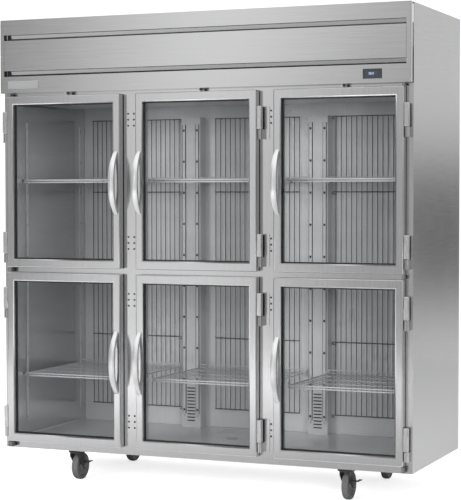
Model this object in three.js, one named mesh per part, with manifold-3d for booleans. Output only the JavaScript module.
// Three-section reach-in refrigerator with six half-height glass doors.
// Millimetres, +Z up, the doors face -Y. In the design frame Y = 0 is the front plane of the doors
// and X = 0 the middle of the cabinet; the whole group is then shifted so that the origin is the
// middle of the bounding box on the floor.
import * as THREE from 'three';
import { mergeVertices } from 'three/addons/utils/BufferGeometryUtils.js';
import Module from 'manifold-3d';

const wasm = await Module();
wasm.setup();

// ---------------------------------------------------------------- driving dimensions
const GAP = 0.3;                   // clearance between pieces that touch

const WIDTH = 1981.2;
const TOP_Z = 2146.3;
const CABINET_Z = 152.4;           // underside of the cabinet, which is the caster height
const FACE_Y = 40;                 // front of the cabinet face, behind the doors
const BACK_Y = 796.4;
const HALF = WIDTH / 2;

const WALL = 40;                   // insulated wall thickness
const LINER_X = HALF - WALL;       // inner faces of the side walls
const LINER_BACK_Y = 755;
const FLOOR_Z = CABINET_Z + WALL;
const BASE_H = 12.7;               // height of the channel ring under the floor
const CEILING_Z = 1775;
const BOX_TOP_Z = CEILING_Z + WALL;
const SHEET = 2;                   // bent sheet metal

const FACE_DEPTH = 40;
const FACE_RETURN = 50;            // how far a side panel's front edge returns over the face
const LINER_FRONT_Y = FACE_Y + FACE_DEPTH;

const DOOR_PITCH_X = 665.5;        // centre to centre of the door columns
const DOOR_WIDTH = 586.5;
const DOOR_DEPTH = 34;
const DOOR_ROWS = [
  { row: 'lower', bottom: 185.9, top: 977.2 },
  { row: 'upper', bottom: 1000.4, top: 1793.6 },
];
const DOOR_COLUMNS = [
  { column: 'left', x: -DOOR_PITCH_X, hinge: -1 },
  { column: 'middle', x: 0, hinge: 1 },
  { column: 'right', x: DOOR_PITCH_X, hinge: 1 },
];
const STILE = 36.75;               // visible width of a door's side members
const RAIL = 41;                   // visible height of its top and bottom members
const GLASS_POCKET = 5;            // how far the glass runs in behind the door's front lip
const GLASS_Y = 8;
const GLASS_DEPTH = 24;

const PIN_OUTSET = 11.5;           // hinge pin axis outside the door's edge
const PIN_Y = 12;
const PIN_R = 4;
const KNUCKLE_R = 11;
const KNUCKLE_DOOR_H = 101;
const KNUCKLE_FRAME_H = 42;
const HINGE_H = KNUCKLE_DOOR_H + KNUCKLE_FRAME_H + 1;
const HINGE_FROM_TOP = 70;         // top of the upper hinge below the top of its door
const HINGE_FROM_BOTTOM = 21;
const FLANGE = 3;

const HANDLE_LENGTH = 286;
const HANDLE_REACH = 55;
const HANDLE_WIDTH = 28;
const HANDLE_THICK = 18;
const HANDLE_GRIP = 194;           // open length behind the bow
const HANDLE_INSET = 19;           // handle centre line from the door's free edge

const HEADER_Z = 1808.8;
const HEADER_DEPTH = 22;           // depth of the header's folded edges
const HEADER_CORNER_R = 4;
const HEADER_TAIL_X = HALF - 17;   // stiffener that runs back to the cabinet face
const SLOT_1 = [2051, 2077];       // upper air slot, bottom and top
const SLOT_2 = [1885, 1911];       // lower air slot
const SLOT_HALF = 970;

const MULLION_X = DOOR_PITCH_X / 2;
const MULLION_W = 128;
const OPENING_SIDE_X = 925;        // outer edge of the end openings
const OPENING_ROWS = [[200, 958], [1020, 1772]];

const DUCT_X = 330;
const DUCT_W = 100;
const DUCT_DEPTH = 63.7;
const DUCT_TOP_Z = 1713;
const VENT_COUNT = 11;
const VENT_PITCH = 16;
const VENT_Z = 226;

const SHELF_W = 560;
const SHELF_Y = [135, 685];
const SHELF_Z = [495.6, 1410];     // top of the wires, lower and upper row
const SHELF_RAIL = 14;
const SHELF_WIRES = 9;

const CASTER_X = 665;
const CASTER_Y = [130, 692];       // swivel axes, front and rear
const WHEEL_R = 63.5;
const WHEEL_HALF = 16;
const TRAIL = 35;
const AXLE_R = 6;
const LEG_X = 19.5;                // inner face of a fork leg
const LEG_T = 3;

const LOCK_X = 29;                 // lock centre line right of each door's centre
const LOCK_Z = 1802.4;
const LOCK_R = 4;
const CONTROLLER = { x: 821.4, z: 1847.4, width: 81.4, height: 41 };

const FAN_X = 180;                 // evaporator fans either side of the middle
const FAN_Y = 340;
const FAN_R = 96;
const FAN_Z = 1795;
const HOOD = { x: 330, y: [210, 700], top: 2092, wall: 30 };
const TRAY = { x: [380, 950], y: [120, 740], height: 24, sheet: 3 };
const TRAY_Z = BOX_TOP_Z + GAP + TRAY.sheet + GAP;
const COIL_TOP_Z = 2078;
const CONDENSER_X = [420, 740];
const CONDENSER_Y = [150, 205];
const SHROUD_BACK_Y = 292;
const CONDENSER_FAN = { x: 580, y: 272, z: 1960, r: 112 };
const COMPRESSOR = { x: 830, y: 560, r: 88, height: 200 };
const ELECTRICAL_BOX = { x: [-820, -560], y: [470, 640], height: 120 };
const GLAND_X = -780;

// ---------------------------------------------------------------- materials
function finish(color, metalness, roughness) {
  return () => new THREE.MeshStandardMaterial({ color, metalness, roughness });
}
const STAINLESS = finish(0xb4b5b7, 1.0, 0.32);
const LINER = finish(0xa3a5a6, 0.9, 0.45);
const GALVANISED = finish(0x9a9c9c, 0.85, 0.5);
const CAST_METAL = finish(0xd0d1d2, 1.0, 0.25);
const BLACK_PLASTIC = finish(0x202022, 0.0, 0.5);
const GLASS = finish(0x9fa8a8, 0.0, 0.05);
const CASTER_PAINT = finish(0x2b2c2e, 0.3, 0.5);
const TREAD = finish(0x3a3a3b, 0.0, 0.7);
const WIRE = finish(0xa8a9a9, 0.7, 0.4);
const FINS = finish(0xb0b3b5, 0.9, 0.4);
const COMPRESSOR_PAINT = finish(0x1c1c1e, 0.2, 0.45);

// ---------------------------------------------------------------- solids
function toSolid(geometry) {
  const bare = geometry.index ? geometry.toNonIndexed() : geometry;
  bare.deleteAttribute('normal');
  bare.deleteAttribute('uv');
  const merged = mergeVertices(bare, 1e-4);
  return new wasm.Manifold(new wasm.Mesh({
    numProp: 3,
    vertProperties: new Float32Array(merged.attributes.position.array),
    triVerts: new Uint32Array(merged.index.array),
  }));
}

function toGeometry(solid) {
  const mesh = solid.getMesh();
  const geometry = new THREE.BufferGeometry();
  geometry.setAttribute('position', new THREE.BufferAttribute(mesh.vertProperties.slice(), 3));
  geometry.setIndex(new THREE.BufferAttribute(mesh.triVerts.slice(), 1));
  geometry.computeVertexNormals();
  return geometry;
}

// A block between two corners.
function block(x0, x1, y0, y1, z0, z1) {
  const geometry = new THREE.BoxGeometry(Math.abs(x1 - x0), y1 - y0, z1 - z0);
  geometry.translate((x0 + x1) / 2, (y0 + y1) / 2, (z0 + z1) / 2);
  return toSolid(geometry);
}

// A round bar along one axis, from one end to the other.
function bar(axis, x, y, z, radius, length, sides = 12) {
  const geometry = new THREE.CylinderGeometry(radius, radius, length, sides);
  if (axis === 'x') geometry.rotateZ(Math.PI / 2);
  if (axis === 'z') geometry.rotateX(Math.PI / 2);
  geometry.translate(x, y, z);
  return toSolid(geometry);
}

function join(pieces) {
  return pieces.reduce((whole, piece) => whole.add(piece));
}

function cut(whole, pieces) {
  return pieces.reduce((rest, piece) => rest.subtract(piece), whole);
}

// An outline in the Y-Z plane pushed along X, from x0 to x1.
function alongX(points, x0, x1) {
  const shape = new THREE.Shape(points.map(([y, z]) => new THREE.Vector2(y, z)));
  const geometry = new THREE.ExtrudeGeometry(shape, { depth: x1 - x0, bevelEnabled: false });
  geometry.rotateX(Math.PI / 2);
  geometry.rotateZ(Math.PI / 2);
  geometry.translate(x0, 0, 0);
  return toSolid(geometry);
}

// An outline in the X-Y plane pushed up, from z0 to z1.
function alongZ(points, z0, z1) {
  const shape = new THREE.Shape(points.map(([x, y]) => new THREE.Vector2(x, y)));
  const geometry = new THREE.ExtrudeGeometry(shape, { depth: z1 - z0, bevelEnabled: false });
  geometry.translate(0, 0, z0);
  return toSolid(geometry);
}

const refrigerator = new THREE.Group();
refrigerator.position.y = -(BACK_Y - HANDLE_REACH) / 2;

function add(name, solid, material) {
  const mesh = new THREE.Mesh(toGeometry(solid), material());
  mesh.name = name;
  refrigerator.add(mesh);
}

// ---------------------------------------------------------------- hinges
function hingeBottoms(door) {
  return [door.bottom + HINGE_FROM_BOTTOM, door.top - HINGE_FROM_TOP - HINGE_H];
}

function pinX(column) {
  return column.x + column.hinge * (DOOR_WIDTH / 2 + PIN_OUTSET);
}

// The cabinet half of a hinge: flange on the face, arm, lower knuckle and the pin above it.
function cabinetHinge(column, z, flangeReach) {
  const x = pinX(column);
  const side = column.hinge;
  const flangeEnd = x + side * flangeReach;
  const top = z + KNUCKLE_FRAME_H;
  return [
    block(x - side * 6, flangeEnd, FACE_Y - FLANGE, FACE_Y + 1, z, z + HINGE_H),
    block(x - side * 6, x + side * KNUCKLE_R, PIN_Y, FACE_Y - 1, z, top),
    bar('z', x, PIN_Y, z + KNUCKLE_FRAME_H / 2, KNUCKLE_R, KNUCKLE_FRAME_H),
    bar('z', x, PIN_Y, top + 34, PIN_R, 70, 8),
  ];
}

// The door half: a knuckle bored for the pin and the strap that wraps the door's edge.
function doorKnuckle(column, z) {
  const x = pinX(column);
  const side = column.hinge;
  const bottom = z + KNUCKLE_FRAME_H + 1;
  const middle = bottom + KNUCKLE_DOOR_H / 2;
  const strap = block(x - side * (PIN_OUTSET + 4), x, PIN_Y - KNUCKLE_R, PIN_Y + KNUCKLE_R - 2,
    bottom, bottom + KNUCKLE_DOOR_H);
  const knuckle = bar('z', x, PIN_Y, middle, KNUCKLE_R, KNUCKLE_DOOR_H);
  const bore = bar('z', x, PIN_Y, bottom + 30, PIN_R + 0.8, 90, 8);
  return strap.add(knuckle).subtract(bore);
}

function hingesOf(columns, flangeReach) {
  return columns.flatMap((column) => DOOR_ROWS.flatMap((door) => (
    hingeBottoms(door).flatMap((z) => cabinetHinge(column, z, flangeReach)))));
}

// ---------------------------------------------------------------- cabinet shell
// A side panel is one insulated wall below and a single sheet beside the machine compartment.
function sidePanel(side) {
  const outer = side * HALF;
  const wall = block(outer - side * WALL, outer, FACE_Y, BACK_Y, CABINET_Z, BOX_TOP_Z);
  const faceReturn = block(outer - side * FACE_RETURN, outer, FACE_Y, FACE_Y + SHEET, CABINET_Z,
    BOX_TOP_Z);
  const sheet = block(outer - side * SHEET, outer, FACE_Y, BACK_Y, BOX_TOP_Z - 1, TOP_Z);
  const rim = block(outer - side * 20, outer, FACE_Y, BACK_Y, TOP_Z - SHEET, TOP_Z);
  const columns = DOOR_COLUMNS.filter((column) => column.hinge * side > 0 && column.x !== 0);
  return join([wall, faceReturn, sheet, rim, ...hingesOf(columns, KNUCKLE_R + 9)]);
}
add('side_panel_left', sidePanel(-1), STAINLESS);
add('side_panel_right', sidePanel(1), STAINLESS);

// The rear panel closes the cold box, and a sheet with a vent field closes the compartment above.
function rearPanel() {
  const x = LINER_X - GAP;
  const wall = block(-x, x, LINER_BACK_Y, BACK_Y, CABINET_Z, BOX_TOP_Z);
  const sheetX = HALF - SHEET - GAP;
  const sheetTop = TOP_Z - SHEET - GAP;
  const sheet = block(-sheetX, sheetX, BACK_Y - SHEET, BACK_Y, BOX_TOP_Z + GAP, sheetTop);
  const root = block(-x, x, BACK_Y - SHEET, BACK_Y, BOX_TOP_Z - 1, BOX_TOP_Z + 10);
  const slots = [];
  for (let i = 0; i < 12; i += 1) {
    const slotX = 380 + i * 46;
    slots.push(block(slotX, slotX + 22, BACK_Y - 10, BACK_Y + 10, 1880, 2040));
  }
  return cut(join([wall, root, sheet]), slots);
}
add('rear_panel', rearPanel(), GALVANISED);

// A slab between the side walls, from the face frame back to the rear panel.
function deck(z0, z1) {
  const x = LINER_X - GAP;
  return block(-x, x, LINER_FRONT_Y + GAP, LINER_BACK_Y - GAP, z0, z1);
}
add('floor_deck', deck(CABINET_Z + BASE_H + GAP, FLOOR_Z), LINER);

// The ceiling has the two fan holes and the return slot over the coil.
function ceilingDeck() {
  const middle = (CEILING_Z + BOX_TOP_Z) / 2;
  const holes = [-1, 1].map((side) => bar('z', side * FAN_X, FAN_Y, middle, FAN_R + 6, 60, 24));
  const returnSlot = block(-260, 260, 590, 660, CEILING_Z - 10, BOX_TOP_Z + 10);
  return cut(deck(CEILING_Z, BOX_TOP_Z), [...holes, returnSlot]);
}
add('ceiling_deck', ceilingDeck(), LINER);

// One frame round all six openings, with the hinges of the middle doors on its right mullion.
function faceFrame() {
  const x = HALF - FACE_RETURN - GAP;
  const frame = block(-x, x, FACE_Y, LINER_FRONT_Y, CABINET_Z, BOX_TOP_Z - GAP);
  const inner = MULLION_X - MULLION_W / 2;
  const outer = MULLION_X + MULLION_W / 2;
  const bays = [[-OPENING_SIDE_X, -outer], [-inner, inner], [outer, OPENING_SIDE_X]];
  const openings = bays.flatMap(([x0, x1]) => OPENING_ROWS.map(([z0, z1]) => (
    block(x0, x1, FACE_Y - 5, LINER_FRONT_Y + 5, z0, z1))));
  return join([cut(frame, openings), ...hingesOf([DOOR_COLUMNS[1]], 36)]);
}
add('face_frame', faceFrame(), STAINLESS);

// A ring of channels under the floor with the four caster plates.
function baseFrame() {
  const x = LINER_X - GAP;
  const top = CABINET_Z + BASE_H;
  const ring = block(-x, x, LINER_FRONT_Y + GAP, LINER_BACK_Y - GAP, CABINET_Z, top);
  const bays = [[-x + 50, -CASTER_X - 60], [-CASTER_X + 60, -40], [40, CASTER_X - 60],
    [CASTER_X + 60, x - 50]];
  const windows = bays.map(([x0, x1]) => (
    block(x0, x1, LINER_FRONT_Y + 60, LINER_BACK_Y - 60, CABINET_Z - 5, top + 5)));
  const plates = [-1, 1].flatMap((side) => CASTER_Y.map((y) => (
    block(side * CASTER_X - 50, side * CASTER_X + 50, y - 43, y + 43, CABINET_Z - 5, top - 1))));
  return join([cut(ring, windows), ...plates]);
}
add('base_frame', baseFrame(), GALVANISED);

// ---------------------------------------------------------------- header
// A steep lip hangs behind the top edge of each air slot, short of the slot's left end.
function slotLip(z) {
  const outline = [[0.4, z - 0.5], [0.4, z + 2], [5, z + 2], [13.8, z - 20.8], [12.2, z - 21.5],
    [3.8, z - 0.5]];
  return alongX(outline, -SLOT_HALF + 36, SLOT_HALF - 2);
}

// The header's plan: a shallow channel, open to the back, with rounded front corners.
function headerPlan(inset, back) {
  const half = HALF - inset;
  const radius = HEADER_CORNER_R - inset;
  const corner = [];
  const steps = 4;
  for (let i = 0; i <= steps; i += 1) {
    const angle = (i / steps) * (Math.PI / 2);
    const x = half - radius * (1 - Math.cos(angle));
    corner.push([x, inset + radius * (1 - Math.sin(angle))]);
  }
  const mirrored = corner.map(([x, y]) => [-x, y]).reverse();
  return [[half, back], ...corner, ...mirrored, [-half, back]];
}

// The fascia: front sheet with the louvre opening, folded edges all round, a stiffener that ties
// it back to the cabinet and the lip above the upper slot. Three lock collars hang below it.
function headerFascia() {
  const shell = alongZ(headerPlan(0, HEADER_DEPTH), HEADER_Z, TOP_Z)
    .subtract(alongZ(headerPlan(SHEET, HEADER_DEPTH + 5), HEADER_Z + SHEET, TOP_Z - SHEET));
  const opening = block(-SLOT_HALF, SLOT_HALF, -5, SHEET + 5, SLOT_2[0], SLOT_1[1]);
  const controllerHole = block(CONTROLLER.x - 36, CONTROLLER.x + 36, -5, SHEET + 5,
    CONTROLLER.z - 15, CONTROLLER.z + 15);
  const tailEnds = [-1, 1].map((side) => (
    block(side * HEADER_TAIL_X, side * (HEADER_TAIL_X + SHEET), 1, FACE_Y - GAP, HEADER_Z, TOP_Z)));
  const tails = [HEADER_Z, TOP_Z - SHEET].map((z) => (
    block(-HEADER_TAIL_X - SHEET, HEADER_TAIL_X + SHEET, 1, FACE_Y - GAP, z, z + SHEET)));
  const collars = DOOR_COLUMNS.map((column) => (
    block(column.x + LOCK_X - 8, column.x + LOCK_X + 8, 5, 24, LOCK_Z - 6, HEADER_Z + 1)));
  const bores = DOOR_COLUMNS.map((column) => (
    bar('y', column.x + LOCK_X, 12, LOCK_Z, LOCK_R + 0.4, 40, 12)));
  const sheet = cut(shell, [opening, controllerHole]);
  return cut(join([sheet, ...tailEnds, ...tails, slotLip(SLOT_1[1]), ...collars]), bores);
}
add('header_fascia', headerFascia(), STAINLESS);

// The louvre panel fills the opening between the slots; its lower edge folds back as the second lip.
function louverPanel() {
  const half = SLOT_HALF - 1;
  const front = block(-half, half, 0, SHEET, SLOT_2[1], SLOT_1[0]);
  const topFold = block(-half, half, 0, 12, SLOT_1[0] - SHEET, SLOT_1[0]);
  const lip = slotLip(SLOT_2[1]);
  const stiffeners = [-600, 0, 600].map((x) => block(x - 20, x + 20, 1, 14, 1930, 2030));
  return join([front, topFold, lip, ...stiffeners]);
}
add('louver_panel', louverPanel(), STAINLESS);

function temperatureController() {
  const { x, z, width, height } = CONTROLLER;
  const bezel = block(x - width / 2, x + width / 2, -6, -GAP, z - height / 2, z + height / 2);
  const glassRecess = block(x - 29, x + 21, -8, -4.5, z - 12, z + 12);
  const body = block(x - 35, x + 35, -1, 58, z - 14, z + 14);
  return cut(bezel, [glassRecess]).add(body);
}
add('temperature_controller', temperatureController(), BLACK_PLASTIC);

// ---------------------------------------------------------------- doors
function doorFrame(column, door) {
  const x0 = column.x - DOOR_WIDTH / 2;
  const x1 = column.x + DOOR_WIDTH / 2;
  const slab = block(x0, x1, 0, DOOR_DEPTH, door.bottom, door.top);
  const sight = block(x0 + STILE, x1 - STILE, -5, DOOR_DEPTH + 5, door.bottom + RAIL, door.top - RAIL);
  const lap = STILE - GLASS_POCKET;
  const lapZ = RAIL - GLASS_POCKET;
  const pocket = block(x0 + lap, x1 - lap, GLASS_Y, DOOR_DEPTH + 5,
    door.bottom + lapZ, door.top - lapZ);
  const knuckles = hingeBottoms(door).map((z) => doorKnuckle(column, z));
  return join([cut(slab, [sight, pocket]), ...knuckles]);
}

function glassUnit(column, door) {
  const halfX = DOOR_WIDTH / 2 - STILE + GLASS_POCKET - GAP;
  const lapZ = RAIL - GLASS_POCKET + GAP;
  return block(column.x - halfX, column.x + halfX, GLASS_Y + GAP, GLASS_Y + GAP + GLASS_DEPTH,
    door.bottom + lapZ, door.top - lapZ);
}

// A bow handle: an outer arc from tip to tip, an inner arc over the grip, tapered to its ends.
function bowHandle(column, door) {
  const halfLength = HANDLE_LENGTH / 2;
  const halfGrip = HANDLE_GRIP / 2;
  const bow = (t) => 1 - Math.abs(t) ** 2.5;
  const points = [];
  const outerSteps = 16;
  for (let i = 0; i <= outerSteps; i += 1) {
    const t = (2 * i) / outerSteps - 1;
    points.push([-GAP - 2 - (HANDLE_REACH - GAP - 2) * bow(t), t * halfLength]);
  }
  points.push([-GAP, halfLength]);
  const innerSteps = 10;
  for (let i = 0; i <= innerSteps; i += 1) {
    const t = 1 - (2 * i) / innerSteps;
    points.push([-GAP - (HANDLE_REACH - HANDLE_THICK) * bow(t), t * halfGrip]);
  }
  points.push([-GAP, -halfLength]);
  const shape = new THREE.Shape(points.map(([y, z]) => new THREE.Vector2(y, z)));
  const geometry = new THREE.ExtrudeGeometry(shape, { depth: HANDLE_WIDTH, bevelEnabled: false });
  geometry.translate(0, 0, -HANDLE_WIDTH / 2);
  geometry.rotateX(Math.PI / 2);
  geometry.rotateZ(Math.PI / 2);
  const place = geometry.attributes.position;
  for (let i = 0; i < place.count; i += 1) {
    const t = place.getZ(i) / halfLength;
    place.setX(i, place.getX(i) * (1 - 0.42 * t * t));
  }
  const freeEdge = column.x - column.hinge * (DOOR_WIDTH / 2 - HANDLE_INSET);
  geometry.translate(freeEdge, 0, (door.bottom + door.top) / 2 - 6);
  return toSolid(geometry);
}

for (const door of DOOR_ROWS) {
  for (const column of DOOR_COLUMNS) {
    const place = `${door.row}_${column.column}`;
    add(`door_frame_${place}`, doorFrame(column, door), STAINLESS);
    add(`door_glass_${place}`, glassUnit(column, door), GLASS);
    add(`door_handle_${place}`, bowHandle(column, door), CAST_METAL);
  }
}

// A lock plug turns in its collar and carries a small cam behind it.
function doorLock(column) {
  const x = column.x + LOCK_X;
  const plug = bar('y', x, 13, LOCK_Z, LOCK_R, 30, 12);
  const face = bar('y', x, -0.5, LOCK_Z, 5.5, 5, 12);
  const keyway = block(x - 0.8, x + 0.8, -5, 0, LOCK_Z - 3, LOCK_Z + 3);
  const cam = block(x - 5, x + 5, 26, 28, LOCK_Z - 3.5, LOCK_Z + 3.5);
  return join([plug, face, cam]).subtract(keyway);
}
for (const column of DOOR_COLUMNS) {
  add(`door_lock_${column.column}`, doorLock(column), BLACK_PLASTIC);
}

// ---------------------------------------------------------------- casters
function casterFork(x, y) {
  const disc = bar('z', x, y, 140, 30, 13.6, 16);
  const outerX = LEG_X + LEG_T;
  const crown = block(x - outerX, x + outerX, y - 28, y + 30, 129, 134.5);
  const axleY = y + TRAIL;
  const outline = [[y - 28, 134], [y - 28, 116], [axleY - 12, 60]];
  for (let i = 0; i <= 4; i += 1) {
    const angle = Math.PI * (1.1 + (i / 4) * 0.9);
    outline.push([axleY + 12.5 * Math.cos(angle), WHEEL_R + 12.5 * Math.sin(angle)]);
  }
  outline.push([y + 30, 134]);
  const legs = [-outerX, LEG_X].map((side) => alongX(outline, x + side, x + side + LEG_T));
  const axle = bar('x', x, axleY, WHEEL_R, AXLE_R, 2 * outerX + 6, 10);
  return join([disc, crown, ...legs, axle]);
}

// A wheel turned about X, with a rounded tread, a recessed web and a bored hub. It stands on a flat.
function casterWheel(x, y) {
  const sides = 24;
  const bore = AXLE_R + 1;
  const cornerR = WHEEL_R / Math.cos(Math.PI / sides);
  const profile = [
    [bore, -WHEEL_HALF - 1], [18, -WHEEL_HALF - 1], [42, -10], [60, -WHEEL_HALF], [cornerR, -9],
  ];
  const mirrored = profile.map(([r, w]) => [r, -w]).reverse();
  const closed = [...profile, ...mirrored, profile[0]];
  const outline = closed.map(([r, w]) => new THREE.Vector2(r, w));
  const geometry = new THREE.LatheGeometry(outline, sides);
  geometry.rotateZ(-Math.PI / 2);
  geometry.rotateX(Math.PI / sides);
  geometry.translate(x, y + TRAIL, WHEEL_R);
  return toSolid(geometry);
}

// A brake lever pivots outside the right leg of a front fork; its pedal stands out to the side.
function casterBrake(x, y) {
  const inner = x + LEG_X + LEG_T + 0.5;
  const plate = alongX([[y + 6, 108], [y + 6, 96], [y + 30, 80], [y + 52, 80], [y + 52, 86],
    [y + 18, 108]], inner, inner + 2.5);
  const pedal = block(inner, inner + 22, y + 28, y + 52, 80, 83);
  const lip = alongX([[y + 28, 81], [y + 28, 89], [y + 52, 89], [y + 52, 81]],
    inner + 20, inner + 23);
  const tip = block(inner + 20, inner + 34, y + 28, y + 52, 86, 89);
  return join([plate, pedal, lip, tip]);
}

for (const [row, y] of [['front', CASTER_Y[0]], ['rear', CASTER_Y[1]]]) {
  for (const [side, x] of [['left', -CASTER_X], ['right', CASTER_X]]) {
    add(`caster_fork_${row}_${side}`, casterFork(x, y), CASTER_PAINT);
    add(`caster_wheel_${row}_${side}`, casterWheel(x, y), TREAD);
    if (row === 'front') add(`caster_brake_${row}_${side}`, casterBrake(x, y), CASTER_PAINT);
  }
}

// ---------------------------------------------------------------- interior
// A rear duct is a folded channel on the rear wall, open at the top, with outlets near the floor.
function rearDuct(x) {
  const front = LINER_BACK_Y - DUCT_DEPTH;
  const channel = cut(
    block(x - DUCT_W / 2, x + DUCT_W / 2, front, LINER_BACK_Y - GAP, FLOOR_Z + GAP, DUCT_TOP_Z),
    [block(x - DUCT_W / 2 + SHEET, x + DUCT_W / 2 - SHEET, front + SHEET, LINER_BACK_Y + 5,
      FLOOR_Z - 5, DUCT_TOP_Z + 5)],
  );
  const vents = [];
  for (let i = 0; i < VENT_COUNT; i += 1) {
    const z = VENT_Z + i * VENT_PITCH;
    vents.push(block(x - 21, x + 21, front - 5, front + SHEET + 5, z - 3, z + 3));
  }
  return cut(channel, vents);
}
add('rear_duct_left', rearDuct(-DUCT_X), LINER);
add('rear_duct_right', rearDuct(DUCT_X), LINER);

// A shallow tray under the ceiling spreads the cold air through slots along its front and back.
function ceilingPlenum() {
  const tray = cut(
    block(-900, 900, 120, 560, CEILING_Z - 14, CEILING_Z - GAP),
    [block(-898, 898, 122, 558, CEILING_Z - 12, CEILING_Z + 5)],
  );
  const slots = [];
  for (const x of [-750, -450, -150, 150, 450, 750]) {
    slots.push(block(x - 90, x + 90, 150, 170, CEILING_Z - 20, CEILING_Z - 5));
    slots.push(block(x - 90, x + 90, 500, 520, CEILING_Z - 20, CEILING_Z - 5));
  }
  return cut(tray, slots);
}
add('ceiling_plenum', ceilingPlenum(), LINER);

// A wire shelf: rails front and rear, end bars and wires from front to rear.
function wireShelf(x, z) {
  const [front, rear] = SHELF_Y;
  const half = SHELF_W / 2;
  const pieces = [
    block(x - half, x + half, front, front + 6, z - SHELF_RAIL, z),
    block(x - half, x + half, rear - 6, rear, z - SHELF_RAIL, z),
    block(x - half, x - half + 6, front, rear, z - SHELF_RAIL, z),
    block(x + half - 6, x + half, front, rear, z - SHELF_RAIL, z),
  ];
  const pitch = SHELF_W / (SHELF_WIRES + 1);
  for (let i = 1; i <= SHELF_WIRES; i += 1) {
    const wireX = x - half + i * pitch;
    pieces.push(block(wireX - 2.5, wireX + 2.5, front + 1, rear - 1, z - 5, z - 0.5));
  }
  return join(pieces);
}
for (const [row, z] of [['lower', SHELF_Z[0]], ['upper', SHELF_Z[1]]]) {
  for (const column of DOOR_COLUMNS) {
    add(`wire_shelf_${row}_${column.column}`, wireShelf(column.x, z), WIRE);
  }
}

// ---------------------------------------------------------------- machine compartment
// The evaporator stands over the ceiling in an insulated hood that is open underneath.
function evaporatorHousing() {
  const { x, y, top, wall } = HOOD;
  const hood = block(-x, x, y[0], y[1], BOX_TOP_Z + GAP, top);
  const hollow = block(-x + wall, x - wall, y[0] + wall, y[1] - wall, BOX_TOP_Z - 5, top - wall);
  return hood.subtract(hollow);
}
add('evaporator_housing', evaporatorHousing(), GALVANISED);

// A finned coil is one comb outline pushed up: fins on the front of a solid core.
function finnedCoil(x0, x1, y0, y1, z0, z1, fins) {
  const pitch = (x1 - x0) / fins;
  const root = y0 + 8;
  const outline = [[x1, y1], [x0, y1]];
  for (let i = 0; i < fins; i += 1) {
    const x = x0 + i * pitch;
    const finEnd = x + pitch * 0.4;
    outline.push([x, y0], [finEnd, y0], [finEnd, root]);
    if (i < fins - 1) outline.push([x + pitch, root]);
  }
  outline.push([x1, root]);
  return alongZ(outline, z0, z1);
}
add('evaporator_coil', finnedCoil(-270, 270, 480, 560, BOX_TOP_Z + 12, 2040, 18), FINS);

// A fan is a hub with five pitched blades, turned about the given axis.
function fan(axis, x, y, z, radius, hubR, depth) {
  const hub = new THREE.CylinderGeometry(hubR, hubR, depth, 14);
  const pieces = [toSolid(hub)];
  for (let i = 0; i < 5; i += 1) {
    const blade = new THREE.BoxGeometry(radius - hubR + 4, 2, radius * 0.5);
    blade.rotateX(0.5);
    blade.translate((radius + hubR) / 2 - 2, 0, 0);
    blade.rotateY((i / 5) * Math.PI * 2);
    pieces.push(toSolid(blade));
  }
  const whole = join(pieces);
  const geometry = toGeometry(whole);
  if (axis === 'z') geometry.rotateX(Math.PI / 2);
  geometry.translate(x, y, z);
  return toSolid(geometry);
}
add('evaporator_fan_left', fan('z', -FAN_X, FAN_Y, FAN_Z, FAN_R - 6, 26, 36), BLACK_PLASTIC);
add('evaporator_fan_right', fan('z', FAN_X, FAN_Y, FAN_Z, FAN_R - 6, 26, 36), BLACK_PLASTIC);

// The tray that carries the condensing unit, with its folded edges.
function condensingBase() {
  const { x, y, height, sheet } = TRAY;
  const z = BOX_TOP_Z + GAP;
  const tray = block(x[0], x[1], y[0], y[1], z, z + height);
  return tray.subtract(block(x[0] + sheet, x[1] - sheet, y[0] + sheet, y[1] - sheet,
    z + sheet, z + height + 5));
}
add('condensing_base', condensingBase(), GALVANISED);

// A hermetic compressor: a domed shell on three feet with its terminal cover.
function compressor() {
  const { x, y, r, height } = COMPRESSOR;
  const z = TRAY_Z;
  const profile = [];
  const rings = 4;
  for (let i = 0; i <= rings; i += 1) {
    const angle = (i / rings) * (Math.PI / 2);
    profile.push(new THREE.Vector2(r * Math.sin(angle), 16 + 50 * (1 - Math.cos(angle))));
  }
  for (let i = 0; i <= rings; i += 1) {
    const angle = (1 - i / rings) * (Math.PI / 2);
    profile.push(new THREE.Vector2((r - 4) * Math.sin(angle), height - 50 + 50 * Math.cos(angle)));
  }
  const dome = new THREE.LatheGeometry(profile, 20);
  dome.rotateX(Math.PI / 2);
  dome.translate(x, y, z);
  const footReach = r + 4;
  const feet = [0, 1, 2, 3].map((i) => {
    const angle = Math.PI / 4 + (i * Math.PI) / 2;
    return bar('z', x + footReach * Math.cos(angle), y + footReach * Math.sin(angle), z + 10, 14, 20, 8);
  });
  const plate = block(x - 95, x + 95, y - 95, y + 95, z + 17, z + 21);
  const cover = block(x + 75, x + 110, y - 40, y + 40, z + 70, z + 150);
  return join([toSolid(dome), plate, cover, ...feet]);
}
add('compressor', compressor(), COMPRESSOR_PAINT);

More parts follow.
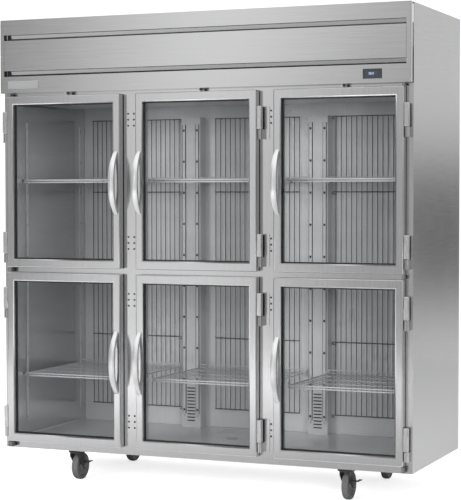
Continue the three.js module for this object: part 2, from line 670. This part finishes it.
add('condenser_coil', finnedCoil(CONDENSER_X[0], CONDENSER_X[1], CONDENSER_Y[0], CONDENSER_Y[1],
  TRAY_Z, COIL_TOP_Z, 20), FINS);

// The shroud closes the coil's back and holds the fan motor on three arms.
function fanShroud() {
  const { x, y, z, r } = CONDENSER_FAN;
  const front = CONDENSER_Y[1] + GAP;
  const back = SHROUD_BACK_Y;
  const box = block(CONDENSER_X[0], CONDENSER_X[1], front, back, TRAY_Z, COIL_TOP_Z);
  const hollow = block(CONDENSER_X[0] + SHEET, CONDENSER_X[1] - SHEET, front - 5, back - SHEET,
    TRAY_Z + SHEET, COIL_TOP_Z - SHEET);
  const mouth = bar('y', x, back - 2, z, r + 6, 20, 24);
  const motor = bar('y', x, back + 38, z, 38, 50, 16);
  const arms = [0, 1, 2].map((i) => {
    const arm = new THREE.BoxGeometry(r + 14, 5, 12);
    arm.translate((r + 14) / 2, 0, 0);
    arm.rotateY((i / 3) * Math.PI * 2 + 0.5);
    arm.translate(x, back + 17, z);
    return toSolid(arm);
  });
  const struts = [0, 1, 2].map((i) => {
    const angle = (i / 3) * Math.PI * 2 + 0.5;
    const reach = r + 11;
    return bar('y', x + reach * Math.cos(angle), back + 8, z - reach * Math.sin(angle), 4, 22, 8);
  });
  return join([cut(box, [hollow, mouth]), motor, ...arms, ...struts]);
}
add('fan_shroud', fanShroud(), GALVANISED);
add('condenser_fan', fan('y', CONDENSER_FAN.x, CONDENSER_FAN.y, CONDENSER_FAN.z,
  CONDENSER_FAN.r, 30, 34), BLACK_PLASTIC);

// The electrical box, with the gland where the supply cord would enter.
function electricalBox() {
  const { x, y, height } = ELECTRICAL_BOX;
  const z = BOX_TOP_Z + GAP;
  const box = block(x[0], x[1], y[0], y[1], z, z + height);
  const lid = block(x[0] - 4, x[1] + 4, y[0] - 4, y[1] + 4, z + height - 8, z + height + 4);
  const gland = join([
    bar('y', GLAND_X, y[1] + 12, z + 30, 14, 30, 12),
    bar('y', GLAND_X, y[1] + 28, z + 30, 10, 30, 12),
  ]);
  return join([box, lid, gland]);
}
add('electrical_box', electricalBox(), GALVANISED);

export default refrigerator;
